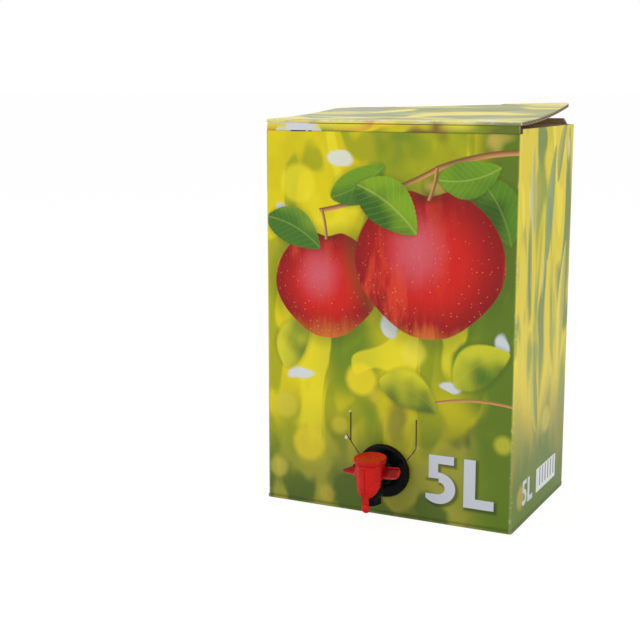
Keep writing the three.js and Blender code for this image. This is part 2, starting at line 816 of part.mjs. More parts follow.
// Plug: a soft cone that shuts the seat above the nozzle.
const plugBottom = seatBottom + 0.5;
function plugSolid() {
  const top = plugBottom + plugHeight;
  const hole = stemPinRadius + fitGap;
  return turnedOnZ([
    [0, plugBottom],
    [seatRadius - 0.2, plugBottom],
    [plugRadius, plugBottom + 1.6],
    [plugRadius, top],
    [hole, top],
    [hole, top - plugHeight + 0.5],
    [0, top - plugHeight + 0.5],
  ]);
}

// Diaphragm: the elastomer disc that closes the barrel round the stem and springs the valve shut.
function diaphragmSolid() {
  const hole = (stemSide / 2) * Math.SQRT2 + fitGap;
  const bottom = barrelTop - 2.1 + 0.1;
  return turnedOnZ([
    [hole, bottom],
    [diaphragmRadius, bottom],
    [diaphragmRadius, bottom + diaphragmThickness],
    [hole + 1.6, bottom + diaphragmThickness],
    [hole + 0.8, bottom + diaphragmThickness + 0.3],
    [hole, bottom + diaphragmThickness + 0.3],
    [hole, bottom],
  ]);
}

// Finishes, as colours in the open.
const finishes = {
  print: new THREE.MeshStandardMaterial({ color: 0xb7b93c, roughness: 0.35, metalness: 0 }),
  film: new THREE.MeshStandardMaterial({ color: 0xe3e8e6, roughness: 0.2, metalness: 0 }),
  whitePlastic: new THREE.MeshStandardMaterial({ color: 0xeeeeea, roughness: 0.45, metalness: 0 }),
  blackPlastic: new THREE.MeshStandardMaterial({ color: 0x0d100f, roughness: 0.4, metalness: 0 }),
  redPlastic: new THREE.MeshStandardMaterial({ color: 0xc41a12, roughness: 0.38, metalness: 0 }),
  elastomer: new THREE.MeshStandardMaterial({ color: 0xd9d6cb, roughness: 0.7, metalness: 0 }),
};

function piece(name, manifold, finish) {
  const mesh = new THREE.Mesh(geometryOf(manifold), finishes[finish]);
  mesh.name = name;
  return mesh;
}

const bagInBox = new THREE.Group();
bagInBox.add(piece("carton", cartonSolid(), "print"));
bagInBox.add(piece("lid_flap", lidSolid(), "print"));
bagInBox.add(piece("liner_bag", bagSolid(), "film"));

const fitment = new THREE.Group();
fitment.position.set(fitmentOffset, frontFace, holeHeight);
fitment.rotation.set(rad(fitmentDroop), rad(-fitmentRoll), 0);
fitment.add(piece("bag_gland", glandSolid(), "whitePlastic"));
fitment.add(piece("tap_body", tapBodySolid(), "blackPlastic"));

const upright = new THREE.Group();
upright.position.set(0, -barrelReach, 0);
upright.add(piece("tap_diaphragm", diaphragmSolid(), "elastomer"));
upright.add(piece("valve_plug", plugSolid(), "elastomer"));
upright.add(piece("valve_stem", stemSolid(), "whitePlastic"));
upright.add(piece("tap_lever", leverSolid(), "redPlastic"));
fitment.add(upright);
bagInBox.add(fitment);

export default bagInBox;
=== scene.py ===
import bpy
import math
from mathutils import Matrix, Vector


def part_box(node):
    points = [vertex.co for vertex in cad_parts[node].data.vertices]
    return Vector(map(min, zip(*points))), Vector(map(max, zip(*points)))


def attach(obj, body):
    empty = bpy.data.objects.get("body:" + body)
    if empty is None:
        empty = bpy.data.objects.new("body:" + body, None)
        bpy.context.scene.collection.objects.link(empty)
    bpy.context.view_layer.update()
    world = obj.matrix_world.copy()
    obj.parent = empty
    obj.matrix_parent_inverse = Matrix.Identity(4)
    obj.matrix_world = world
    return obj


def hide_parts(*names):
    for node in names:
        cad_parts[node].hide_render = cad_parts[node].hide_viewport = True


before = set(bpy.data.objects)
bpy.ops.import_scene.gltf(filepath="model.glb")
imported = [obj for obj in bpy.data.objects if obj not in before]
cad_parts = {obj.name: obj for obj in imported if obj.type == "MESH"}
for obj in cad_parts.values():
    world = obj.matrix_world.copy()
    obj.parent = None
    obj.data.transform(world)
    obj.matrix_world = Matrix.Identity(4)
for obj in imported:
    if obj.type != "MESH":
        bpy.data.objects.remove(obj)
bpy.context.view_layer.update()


# Camera at the photograph's place: a little above the lid and to the right of the front.
# The photograph is square, and its focal length is about twice the frame's width.
bpy.ops.object.select_all(action="DESELECT")
bpy.ops.object.camera_add(
    location=(0.3351, -0.8360, 0.2916),
    rotation=(math.radians(79.59), math.radians(0.03), math.radians(26.37)),
)
camera = bpy.context.object
camera.name = "photo_camera"
camera.data.sensor_fit = "HORIZONTAL"
camera.data.sensor_width = 36
camera.data.lens = 71.94
camera.data.clip_start = 0.01
bpy.context.scene.camera = camera


# White table under the carton: a wide matt sheet that fades into the white surroundings.
# It keeps the soft shadow of the carton and is not part of it.
def colour(red, green, blue):
    """Linear colour from the red, green and blue that a screen shows."""
    def linear(value):
        value = value / 255
        return value / 12.92 if value <= 0.04045 else ((value + 0.055) / 1.055) ** 2.4
    return (linear(red), linear(green), linear(blue), 1)


class Ink:
    """An output of a shader node that takes plain arithmetic."""

    def __init__(self, tree, socket=None):
        self.tree = tree
        self.socket = socket

    def node(self, kind, values, out=0, **settings):
        made = self.tree.nodes.new("ShaderNode" + kind)
        for name, value in settings.items():
            setattr(made, name, value)
        for key, value in values.items():
            if isinstance(value, Ink):
                self.tree.links.new(value.socket, made.inputs[key])
            else:
                made.inputs[key].default_value = value
        return Ink(self.tree, made.outputs[out])

    def sum(self, operation, *others, clamp=False):
        values = dict(enumerate((self, *others)))
        return self.node("Math", values, operation=operation, use_clamp=clamp)

    def __add__(self, other):
        return self.sum("ADD", other)

    def __radd__(self, other):
        return self.sum("ADD", other)

    def __sub__(self, other):
        return self.sum("SUBTRACT", other)

    def __rsub__(self, other):
        return self.sum("MULTIPLY", -1).sum("ADD", other)

    def __mul__(self, other):
        return self.sum("MULTIPLY", other)

    def __rmul__(self, other):
        return self.sum("MULTIPLY", other)

    def __truediv__(self, other):
        return self.sum("DIVIDE", other)

    def __abs__(self):
        return self.sum("ABSOLUTE")

    def most(self, other):
        return self.sum("MAXIMUM", other)

    def least(self, other):
        return self.sum("MINIMUM", other)

    def step(self, start, end, low=0.0, high=1.0):
        """Smooth step of this value from start to end, between two results."""
        values = {"Value": self, "From Min": start, "From Max": end, "To Min": low, "To Max": high}
        return self.node("MapRange", values, interpolation_type="SMOOTHSTEP")

    def mix(self, below, above):
        """Colour that goes from below to above as this value goes from 0 to 1."""
        values = {0: self, 6: below, 7: above}
        return self.node("Mix", values, out=2, data_type="RGBA", clamp_factor=True)

    def noise(self, scale, detail=2.0, rough=0.5, distortion=0.0, stretch=(1, 1, 1), out=0):
        """Cloudy pattern on this place, drawn out along an axis by a stretch below 1."""
        place = self.node("Mapping", {"Vector": self, "Scale": stretch})
        values = {
            "Vector": place, "Scale": scale, "Detail": detail, "Roughness": rough, "Distortion": distortion,
        }
        return self.node("TexNoise", values, out=out)


def new_material(name, **sockets):
    """Material with one Principled BSDF whose even values are set on its own sockets."""
    material = bpy.data.materials.new(name)
    material.use_nodes = True
    shader = material.node_tree.nodes["Principled BSDF"]
    for key, value in sockets.items():
        shader.inputs[key.replace("_", " ")].default_value = value
    place = Ink(material.node_tree).node("TexCoord", {}, out=3)
    return material, shader, place


def feed(shader, key, value):
    """Links a varying value to one of the shader's sockets."""
    value.tree.links.new(value.socket, shader.inputs[key])


def press(shader, height, strength, distance=0.001):
    """Bump on a shader from a height pattern."""
    feed(shader, "Normal", height.node("Bump", {"Strength": strength, "Distance": distance, "Height": height}))


bpy.ops.mesh.primitive_plane_add(size=60, location=(0, 20, -0.0002))
table = bpy.context.object
table.name = "table_sheet"
white, shader, place = new_material("white_sheet", Roughness=0.9, Specular_IOR_Level=0.1)
grain = place.noise(3.0)
feed(shader, "Base Color", grain.mix((0.93, 0.93, 0.93, 1), (0.95, 0.95, 0.95, 1)))
glow = place.node("Emission", {"Color": (1, 1, 1, 1), "Strength": 1.04})
lit = Ink(white.node_tree, shader.outputs[0])
eye = Ink(white.node_tree, white.node_tree.nodes.new("ShaderNodeLightPath").outputs["Is Camera Ray"])
blend = lit.node("MixShader", {0: eye * 0.9, 1: lit, 2: glow})
white.node_tree.links.new(blend.socket, white.node_tree.nodes["Material Output"].inputs["Surface"])
table.data.materials.append(white)


# Soft studio light: an even white room, a large soft lamp at the front left and a weaker one at the right.
# The room looks pure white to the camera and in reflections, and lights the carton a little less.
world = bpy.data.worlds.new("white_room")
world.use_nodes = True
bpy.context.scene.world = world
room = Ink(world.node_tree)
rays = world.node_tree.nodes.new("ShaderNodeLightPath")
seen = Ink(world.node_tree, rays.outputs["Is Camera Ray"])
shone = Ink(world.node_tree, rays.outputs["Is Glossy Ray"])
passed = Ink(world.node_tree, rays.outputs["Is Transmission Ray"])
strength = seen.most(shone).most(passed).step(0, 1, 0.56, 1.0)
backing = world.node_tree.nodes["Background"]
backing.inputs["Color"].default_value = (1, 1, 1, 1)
world.node_tree.links.new(strength.socket, backing.inputs["Strength"])


def soft_lamp(name, place, target, size, power):
    """Square lamp that points at a target."""
    bpy.ops.object.light_add(type="AREA", location=place)
    lamp = bpy.context.object
    lamp.name = name
    lamp.data.size = size
    lamp.data.energy = power
    lamp.rotation_euler = (Vector(target) - Vector(place)).to_track_quat("-Z", "Y").to_euler()


soft_lamp("front_softbox", (-0.7, -1.5, 1.1), (0, 0, 0.12), 1.2, 11)
soft_lamp("right_softbox", (1.7, -0.5, 0.8), (0, 0, 0.12), 1.0, 7.5)
soft_lamp("top_softbox", (0.0, 0.3, 1.8), (0, 0, 0.2), 1.2, 6)


# Carton: corrugated board with a glossy printed sheet outside and plain brown liner inside.
# It is die-cut, printed flat and folded, so the print runs round the creases and the cut edges stay raw.
box_low, box_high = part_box("carton")
half_width, half_depth = box_high[0], box_high[1]
corner = 0.0026
board = 0.0024
skin_depth, liner_depth = 0.00027, board - 0.00023
seam_height, crease_height = 0.2613, 0.2655


def split(place):
    """The x, y and z of a place, each as a value of its own."""
    parts = place.node("SeparateXYZ", {"Vector": place}).socket.node.outputs
    return [Ink(place.tree, part) for part in parts]


def dress(piece, material):
    """Gives a piece one material in place of those that it has."""
    piece.data.materials.clear()
    piece.data.materials.append(material)


def finished(node, body, bevel, angle=32):
    """Copy of a CAD node with clean faces, softened edges and smooth curves, in the node's place."""
    bpy.ops.object.select_all(action="DESELECT")
    piece = bpy.data.objects[node].copy()
    piece.data = bpy.data.objects[node].data.copy()
    piece.name = node + "_finished"
    piece.data.name = piece.name
    for key in list(piece.keys()):
        del piece[key]
    bpy.context.collection.objects.link(piece)
    piece.hide_set(False)
    piece.hide_render = False
    bpy.context.view_layer.objects.active = piece
    piece.select_set(True)
    bpy.ops.object.mode_set(mode="EDIT")
    bpy.ops.mesh.select_all(action="SELECT")
    bpy.ops.mesh.remove_doubles(threshold=0.00002)
    bpy.ops.mesh.dissolve_limited(angle_limit=math.radians(0.6))
    bpy.ops.mesh.normals_make_consistent(inside=False)
    bpy.ops.object.mode_set(mode="OBJECT")
    if bevel > 0:
        soften = piece.modifiers.new("soft_edges", "BEVEL")
        soften.width = bevel
        soften.segments = 2
        soften.limit_method = "ANGLE"
        soften.angle_limit = math.radians(angle)
        soften.use_clamp_overlap = True
        bpy.ops.object.modifier_apply(modifier="soft_edges")
    bpy.ops.object.shade_smooth_by_angle(angle=math.radians(angle))
    if bevel > 0:
        even = piece.modifiers.new("even_shading", "WEIGHTED_NORMAL")
        even.keep_sharp = True
        even.weight = 100
        bpy.ops.object.modifier_apply(modifier="even_shading")
    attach(piece, body)
    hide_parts(node)
    return piece


def leaf(u, v, middle, length, width, lean, bend, blur=0.0003):
    """Mask and side of a pointed leaf: its middle, length, width, lean in degrees, and bend of its midrib."""
    c, s = math.cos(math.radians(lean)), math.sin(math.radians(lean))
    du, dv = u - middle[0], v - middle[1]
    along = (du * c + dv * s) / (length / 2)
    across = dv * c - du * s
    across = across + along * along * bend
    outline = (1 - along * along).most(0).sum("POWER", 0.8) * (width / 2) * (1.15 - along * 0.25)
    teeth = ((along * 11).sum("FRACT") - 0.5) * 0.0005
    inside = outline - abs(across) + teeth + (abs(along) - 0.97).most(0) * -0.05
    mask = inside.step(-blur, blur)
    return mask, across / (width / 2), along, inside


leaf_shade, midrib = colour(34, 50, 10), colour(196, 206, 96)
sunlit_bark = colour(206, 150, 92)


def leaf_on(ground, u, v, cloud, middle, length, width, lean, bend, dark, light, blur):
    """Lays a leaf with a pale midrib and side veins over a coloured ground."""
    mask, across, along, inside = leaf(u, v, middle, length, width, lean, bend, blur)
    clear = 0.0004 / (0.0001 + blur)
    ground = inside.step(-0.0046, 0.0006, 0, 0.26).mix(ground, leaf_shade)
    blade = (across * 0.5 + cloud * 3.2 - 1.4).step(-0.35, 0.65).mix(dark, light)
    veins = (along * 5 + abs(across) * 2.2 + cloud * 1.5).sum("FRACT")
    veins = (abs(veins - 0.5)).step(0.01, 0.16, 0.10 * clear, 0)
    rib = abs(across).step(0.01, 0.09, 0.34 * clear, 0)
    pale = (rib.most(veins)).mix(blade, midrib)
    return mask.mix(ground, pale)


def disc_on(ground, u, v, middle, radius, blur, tint, amount=1.0):
    """Lays a round blurred spot of light over a coloured ground."""
    du, dv = u - middle[0], v - middle[1]
    mask = (du * du + dv * dv).sum("SQRT").step(radius - blur, radius + blur, amount, 0)
    return mask.mix(ground, tint)


def twig_on(ground, u, v, start, end, radius, tint, sag=0.0):
    """Lays a thin twig between two points over a coloured ground."""
    length = math.dist(start, end)
    cu, cv = (end[0] - start[0]) / length, (end[1] - start[1]) / length
    du, dv = u - start[0], v - start[1]
    along = (du * cu + dv * cv) / length
    across = dv * cu - du * cv + (along - along * along) * sag
    inside = (0.5 - abs(along - 0.5)).step(0, 0.01)
    mask = abs(across).step(radius * 0.8, radius * 1.2, 1, 0) * inside
    shade = (across / radius).step(-1, 1).mix(tint, sunlit_bark)
    return mask.mix(ground, shade)


def apple_on(ground, place, u, v, cloud, middle, radius, yellow):
    """Lays a round red apple with fine streaks, dots and a dark stem hollow over a coloured ground."""
    drawn_radius = 0.0585
    scale = drawn_radius / radius
    du, dv = (u - middle[0]) * scale, (v - middle[1]) * scale
    top_dip = (abs(du) / 0.02).step(0, 1, 0.0065, 0) * dv.step(0, 0.03)
    squeeze = (dv * -1).step(0.0, 0.055, 0, 0.005) * (abs(du)).step(0.01, 0.05)
    skin = (((du / 1.06) * (du / 1.06) + dv * dv).sum("SQRT") + top_dip + squeeze) / drawn_radius
    streak = place.noise(60, 3.0, 0.65, stretch=(1.6, 1, 0.35))
    fine = place.noise(190, 3.0, 0.6)
    flesh = (skin + (streak - 0.5) * 0.35).step(0.35, 1.02).mix(colour(204, 26, 16), colour(138, 12, 14))
    flesh = (streak.step(0.46, 0.66) * (du * -1).step(-0.05, 0.05)).mix(flesh, colour(216, 62, 34))
    ripening = (dv * -1 + (streak - 0.5) * 0.03).step(0.05 - 0.04 * yellow, 0.066)
    flesh = ripening.mix(flesh, colour(204, 112, 42))
    blush = (du + (streak - 0.5) * 0.02).step(0.062 - 0.03 * yellow, 0.072, 0, 0.85)
    flesh = blush.mix(flesh, colour(216, 150, 70))
    glow_u, glow_v = (du + 0.010) / 0.022, (dv - 0.010) / 0.026
    glow = (glow_u * glow_u + glow_v * glow_v).sum("SQRT") + (fine - 0.5) * 0.3
    flesh = glow.step(0.1, 1.5, 0.5, 0).mix(flesh, colour(206, 118, 134))
    dots = place.node("TexVoronoi", {"Vector": place, "Scale": 300.0}, feature="F1")
    dots = dots.step(0.08, 0.17, 0.8, 0) * (dv * -1).step(-0.06, 0.03, 0.2, 0.8)
    flesh = dots.mix(flesh, colour(236, 150, 116))
    cup_u, cup_v = (du + 0.001) / 0.017, (dv - 0.0515) / 0.0065
    flesh = (cup_u * cup_u + cup_v * cup_v).sum("SQRT").step(0.2, 1.2, 0.75, 0).mix(flesh, colour(94, 36, 18))
    ground = (skin + (cloud - 0.5) * 0.06).step(1.0, 1.28, 0.35, 0).mix(ground, colour(60, 82, 22))
    return skin.step(0.990, 1.012, 1, 0).mix(ground, flesh)


def bar(u, v, low, high):
    """Signed distance to an upright bar between two corners, below 0 inside it."""
    du = abs(u - (low[0] + high[0]) / 2) - (high[0] - low[0]) / 2
    dv = abs(v - (low[1] + high[1]) / 2) - (high[1] - low[1]) / 2
    return du.most(dv)


def five(u, v, low, high):
    """Signed distance to a plain numeral five in a box."""
    width, height = high[0] - low[0], high[1] - low[1]
    thick = 0.2 * height
    radius = 0.325 * height
    top = bar(u, v, (low[0] + 0.10 * width, high[1] - 0.86 * thick), (high[0] - 0.06 * width, high[1]))
    stem = bar(u, v, (low[0] + 0.10 * width, low[1] + 0.52 * height), (low[0] + 0.10 * width + thick, high[1]))
    cu, cv = low[0] + 0.42 * width, low[1] + radius
    du, dv = (u - cu) / (0.58 * width / radius), v - cv
    ring = abs((du * du + dv * dv).sum("SQRT") - (radius - thick / 2)) - thick / 2
    gap = bar(u, v, (low[0] - width, cv - 0.13 * height), (cu + 0.02 * width, cv + 0.2 * height))
    cut = (v - (low[1] + 0.52 * height)).least(low[0] + 0.10 * width - u)
    return top.least(stem).least(ring.most(gap * -1).most(low[0] - u).most(cut))


def volume_mark(u, v, five_low, five_high, ell_low, ell_high, upright, foot):
    """Signed distance to the figure 5 with a plain L beside it."""
    stroke = bar(u, v, ell_low, (ell_low[0] + upright, ell_high[1]))
    base = bar(u, v, ell_low, (ell_high[0], ell_low[1] + foot))
    return five(u, v, five_low, five_high).least(stroke).least(base)


def front_print(place, u, v):
    """Orchard picture of simple shapes: two red apples and leaves on blurred yellow and green."""
    cloud = place.noise(24, 2.0, 0.5)
    wide = place.noise(13.0, 1.0, 0.4, stretch=(1.3, 1, 0.75), distortion=0.5)
    ground = (wide + (u * -1.5) + 0.02).step(0.36, 0.6).mix(colour(104, 132, 24), colour(216, 200, 8))
    ground = (cloud + (v - 0.16) * 0.8).step(0.5, 0.66).mix(ground, colour(206, 190, 12))
    shoots = place.noise(30, 1.0, 0.4, stretch=(1.0, 1, 0.42), distortion=1.2)
    ground = (shoots.step(0.56, 0.62) * 0.7).mix(ground, colour(232, 218, 36))
    ground = ((1 - shoots).step(0.55, 0.62) * 0.6).mix(ground, colour(122, 142, 20))
    gloom = (wide + cloud * 0.5).step(0.80, 0.9) * (u + 0.02).step(-0.02, 0.05)
    ground = gloom.mix(ground, colour(84, 92, 30))
    low_band = (0.075 - v + (wide - 0.5) * 0.1).step(-0.01, 0.05)
    low_tint = (cloud + (shoots - 0.5) * 0.6).step(0.42, 0.56)
    ground = low_band.mix(ground, low_tint.mix(colour(84, 104, 36), colour(150, 150, 52)))
    ground = (u - 0.052 + (cloud - 0.5) * 0.05).step(0.0, 0.03).mix(ground, colour(92, 118, 26))
    ground = (cloud.step(0.62, 0.72) * v.step(0.06, 0.1)).mix(ground, colour(184, 166, 70))
    for middle, radius, tint, amount in (
        ((-0.018, 0.094), 0.011, colour(236, 214, 30), 0.8),
        ((-0.076, 0.070), 0.009, colour(206, 192, 60), 0.7),
        ((-0.058, 0.044), 0.012, colour(222, 200, 40), 0.7),
        ((-0.034, 0.060), 0.006, colour(206, 190, 50), 0.6),
        ((-0.082, 0.024), 0.007, colour(186, 176, 70), 0.7),
        ((0.084, 0.060), 0.006, colour(222, 214, 60), 0.5),
        ((0.020, 0.116), 0.009, colour(232, 218, 70), 0.6),
        ((-0.066, 0.226), 0.013, colour(236, 220, 40), 0.6),
        ((-0.044, 0.009), 0.006, colour(196, 178, 60), 0.5),
    ):
        ground = disc_on(ground, u, v, middle, radius, 0.0026, tint, amount)
    for middle, size, tint in (
        ((-0.034, 0.244), (0.011, 0.006), colour(214, 218, 206)),
        ((-0.082, 0.200), (0.006, 0.011), colour(198, 206, 212)),
        ((0.004, 0.134), (0.007, 0.010), colour(212, 216, 220)),
        ((0.084, 0.128), (0.006, 0.009), colour(206, 212, 216)),
        ((-0.062, 0.096), (0.010, 0.005), colour(210, 214, 220)),
        ((0.048, 0.096), (0.009, 0.004), colour(206, 210, 218)),
    ):
        du = (u - middle[0] + (cloud - 0.5) * 0.03) / size[0]
        dv = (v - middle[1] + (cloud - 0.5) * 0.03) / size[1]
        ground = (du * du + dv * dv).step(0.5, 1.2, 0.92, 0).mix(ground, tint)
    for start, end, radius, tint, sag in (
        ((0.091, 0.250), (0.034, 0.238), 0.0019, colour(122, 78, 44), 0.010),
        ((0.036, 0.239), (-0.050, 0.208), 0.0016, colour(118, 76, 42), -0.014),
        ((0.091, 0.086), (0.020, 0.078), 0.0010, colour(150, 112, 58), 0.020),
    ):
        ground = twig_on(ground, u, v, start, end, radius, tint, sag)
    deep, green = colour(54, 100, 26), colour(108, 150, 30)
    for middle, length, width, lean, bend, dark, light, blur in (
        ((-0.070, 0.118), 0.044, 0.020, 64, 0.004, colour(96, 122, 34), colour(208, 204, 40), 0.0014),
        ((0.018, 0.090), 0.046, 0.022, -24, 0.004, colour(84, 112, 34), colour(206, 202, 34), 0.0016),
        ((0.066, 0.112), 0.046, 0.024, 34, 0.004, colour(74, 112, 28), colour(196, 196, 40), 0.0012),
        ((-0.020, 0.226), 0.046, 0.020, 30, -0.003, colour(70, 112, 34), green, 0.0008),
        ((0.078, 0.214), 0.050, 0.024, -62, 0.004, colour(48, 86, 22), colour(86, 130, 30), 0.0006),
    ):
        ground = leaf_on(ground, u, v, cloud, middle, length, width, lean, bend, dark, light, blur)

    picture, stalk = ground, colour(112, 74, 40)
    for middle, radius, yellow, start, end, thickness, sag in (
        ((-0.044, 0.158), 0.037, 0.5, (-0.0445, 0.1885), (-0.048, 0.209), 0.0011, 0.003),
        ((0.030, 0.176), 0.050, 0.15, (0.0295, 0.2175), (0.035, 0.239), 0.0012, 0.004),
    ):
        picture = apple_on(picture, place, u, v, cloud, middle, radius, yellow)
        picture = twig_on(picture, u, v, start, end, thickness, stalk, sag)
    for middle, length, width, lean, bend, dark, light, blur in (
        ((-0.068, 0.196), 0.046, 0.022, -26, 0.004, colour(66, 112, 34), colour(118, 154, 40), 0.0005),
        ((0.002, 0.214), 0.054, 0.028, -36, 0.004, deep, colour(124, 162, 28), 0.0003),
        ((0.058, 0.232), 0.044, 0.021, 12, -0.004, colour(74, 118, 28), green, 0.0003),
    ):
        picture = leaf_on(picture, u, v, cloud, middle, length, width, lean, bend, dark, light, blur)
    return picture


def strip_print(place, u, v):
    """Other part of the picture that shows between the seam and the top crease."""
    cloud = place.noise(30, 1.0, 0.4, stretch=(1, 1, 2.2))
    patch = place.noise(17, 1.0, 0.4, stretch=(1, 1, 0.5), distortion=0.4)
    ground = patch.step(0.42, 0.58).mix(colour(196, 186, 24), colour(108, 132, 38))
    ground = cloud.step(0.55, 0.62).mix(ground, colour(222, 196, 26))
    ground = (patch * 0.6 + cloud * 0.5).step(0.64, 0.68).mix(ground, colour(206, 142, 44))
    ground = (cloud * -1 + 1).step(0.58, 0.66).mix(ground, colour(122, 92, 48))
    pale = bar(u + (cloud - 0.5) * 0.02, v, (-0.079, 0.258), (-0.050, 0.2668))
    ground = pale.step(-0.0006, 0.0006, 1, 0).mix(ground, colour(204, 208, 214))
    ground = (patch.step(0.5, 0.6) * v.step(0.26, 0.266)).mix(ground, colour(214, 204, 60))
    return (u - 0.05).step(0, 0.03).mix(ground, colour(96, 112, 34))


def side_print(place, u, v):
    """Drawn-out streaks of yellow, pale grey-green and white."""
    streak = place.noise(34, 2.0, 0.5, stretch=(1, 1.1, 0.32), distortion=0.5)
    broad = place.noise(24, 1.0, 0.4, stretch=(1, 1.2, 0.42), distortion=0.9)
    ground = streak.step(0.35, 0.51).mix(colour(150, 162, 40), colour(230, 208, 14))
    ground = broad.step(0.57, 0.63).mix(ground, colour(242, 222, 36))
    ground = (1 - broad).step(0.61, 0.70).mix(ground, colour(122, 142, 56))
    ground = (streak.step(0.60, 0.68) * v.step(0.10, 0.16)).mix(ground, colour(226, 228, 200))
    ground = (0.11 - v + (broad - 0.5) * 0.1).step(0, 0.08).mix(ground, colour(140, 138, 38))
    ground = (0.055 - v + (streak - 0.5) * 0.08).step(0, 0.03).mix(ground, colour(100, 124, 28))
    for middle, length, width, lean, dark, light in (
        ((0.006, 0.214), 0.080, 0.015, 80, colour(112, 148, 112), colour(146, 168, 84)),
        ((0.030, 0.250), 0.050, 0.011, 66, colour(128, 146, 90), colour(168, 172, 74)),
        ((-0.034, 0.224), 0.060, 0.010, 94, colour(166, 176, 130), colour(206, 204, 128)),
        ((0.040, 0.140), 0.090, 0.014, 84, colour(190, 180, 60), colour(236, 218, 60)),
        ((-0.020, 0.090), 0.070, 0.013, 100, colour(128, 142, 66), colour(196, 190, 62)),
    ):
        mask, across, along, inside = leaf(u, v, middle, length, width, lean, 0.004)
        ground = (mask * 0.85).mix(ground, across.step(-0.4, 0.6).mix(dark, light))
    for middle, radius, tint in (
        ((0.012, 0.062), 0.009, colour(214, 196, 56)), ((-0.042, 0.02), 0.008, colour(196, 170, 66)),
    ):
        ground = disc_on(ground, u, v, middle, radius, 0.003, tint, 0.7)
    return ground


def top_print(place, u, v):
    """Pale streaks of yellow and grey-green along the lid, with a painted highlight near its front left."""
    streak = place.noise(26, 2.0, 0.5, stretch=(0.42, 1.3, 1), distortion=0.6)
    broad = place.noise(15, 1.0, 0.5, stretch=(0.55, 1.2, 1), distortion=0.9)
    ground = streak.step(0.42, 0.58).mix(colour(122, 132, 52), colour(206, 196, 50))
    ground = broad.step(0.54, 0.58).mix(ground, colour(230, 212, 56))
    ground = (1 - broad).step(0.56, 0.62).mix(ground, colour(136, 144, 78))
    # Painted highlight: a soft pale glint near the lid's front left.
    glint_u, glint_v = (u + 0.052 + (streak - 0.5) * 0.05) / 0.022, (v + 0.052) / 0.007
    glint = (glint_u * glint_u + glint_v * glint_v).step(0.3, 1.6, 0.5, 0)
    ground = glint.mix(ground, colour(240, 238, 214))
    return (streak.step(0.64, 0.70) * 0.8).mix(ground, colour(226, 222, 190))


def board_edge(place, along, depth):
    """Raw cut edge: two liners with the wave of the fluting between them, where it shows."""
    flute_pitch = 0.0062
    wave = (along * (2 * math.pi / flute_pitch)).sum("SINE") * (0.30 * board)
    middle = depth - board / 2
    fluting = abs(middle - wave).step(0.00018, 0.0004, 1, 0)
    liner = abs(abs(middle) - (board / 2 - 0.0002)).step(0.0002, 0.0003, 1, 0)
    paper = place.noise(700, 3.0, 0.6)
    solid_paper = paper.mix(colour(150, 134, 112), colour(186, 170, 146))
    return (fluting.most(liner)).mix(colour(96, 82, 64), solid_paper)


def finish_print(shader, place, printed, edge, outside, inside_face):
    """Gloss and waviness of the board, with the print only on the outer face and plain liner inside."""
    inner = place.noise(260, 4.0, 0.65).mix(colour(150, 122, 84), colour(182, 152, 108))
    skin = outside.mix(edge, printed)
    feed(shader, "Base Color", inside_face.mix(skin, inner))
    smudge = place.noise(14, 3.0, 0.6)
    gloss = smudge.step(0.3, 0.7, 0.30, 0.42)
    feed(shader, "Roughness", outside * (gloss - 0.85) + 0.85)
    feed(shader, "Coat Weight", outside * 0.12)
    flutes = place.noise(60, 2.0, 0.5, stretch=(1, 1, 0.12))
    fibre = place.noise(900, 2.0, 0.6)
    press(shader, flutes * 0.5 + fibre * 0.06, 0.35, 0.0006)


carton = finished("carton", "box", 0.00015)
board_print, shader, place = new_material("carton_print", Coat_Roughness=0.15, Specular_IOR_Level=0.18)
x, y, z = split(place)
out_x = abs(x) - (half_width - corner)
out_y = abs(y) - (half_depth - corner)
reach_x, reach_y = out_x.most(0), out_y.most(0)
skin = (reach_x * reach_x + reach_y * reach_y).sum("SQRT") + out_x.most(out_y).least(0) - corner
seam = abs(z - seam_height).step(0.0005, 0.0006, 1, 0).most((z - crease_height).step(0, 0.0002))
seam = seam * (y * -1).step(0.05, 0.052)
outside = (skin + seam * 0.0006 + skin_depth).step(-0.00005, 0.00005)
inside_face = (skin + liner_depth).step(-0.00005, 0.00005, 1, 0)
on_side = (abs(x) - half_width + corner * 0.5).step(-0.0004, 0.0004)
front_mark = (0.0302, 0.0138), (0.0515, 0.0476), (0.0573, 0.0140), (0.0785, 0.0474), 0.0082, 0.0066
side_mark = (-0.0387, 0.0124), (-0.0286, 0.0299), (-0.0267, 0.0124), (-0.0152, 0.0299), 0.0045, 0.0036
lettering = volume_mark(x, z, *front_mark)
shadow = volume_mark(x - 0.0013, z + 0.0012, *front_mark)
picture = front_print(place, x, z)
picture = (z - seam_height).step(-0.0001, 0.0001).mix(picture, strip_print(place, x, z))
fibre = place.noise(520, 2.0, 0.6)
for torn_u, torn_v, length in (
    (-0.0290, 0.0520, 0.0015), (0.0230, 0.0508, 0.0014), (0.0196, 0.0452, 0.0011), (-0.0262, 0.0705, 0.0007),
):
    du, dv = x - torn_u, z - torn_v
    spot = (du * du * 2.2 + dv * dv).sum("SQRT") + (fibre - 0.5) * 0.0032
    picture = spot.step(length - 0.0003, length + 0.0003, 0.92, 0).mix(picture, colour(222, 206, 188))
slit_foot, slit_top = 0.050, 0.0702
for slit_x in (-0.0257, 0.0229):
    rim = bar(x, z, (slit_x - 0.002, slit_foot), (slit_x + 0.002, slit_top)).step(-0.0002, 0, 1, 0)
    rim = abs(x - slit_x).step(0.0004, 0.0011, 0.6, 0) * rim
    picture = rim.mix(picture, colour(126, 112, 60))
# Painted shade: two dark slots along the seam, in the gaps below the strip.
slot_shade = bar(x, z, (-0.0714, 0.2600), (-0.0609, 0.2626))
slot_shade = slot_shade.least(bar(x, z, (-0.0578, 0.2600), (-0.0564, 0.2626))).step(0, 0.001, 1, 0)
slot_shade = abs(z - seam_height).step(0.0003, 0.0005, 1, 0) * slot_shade
picture = slot_shade.mix(picture, colour(42, 44, 22))
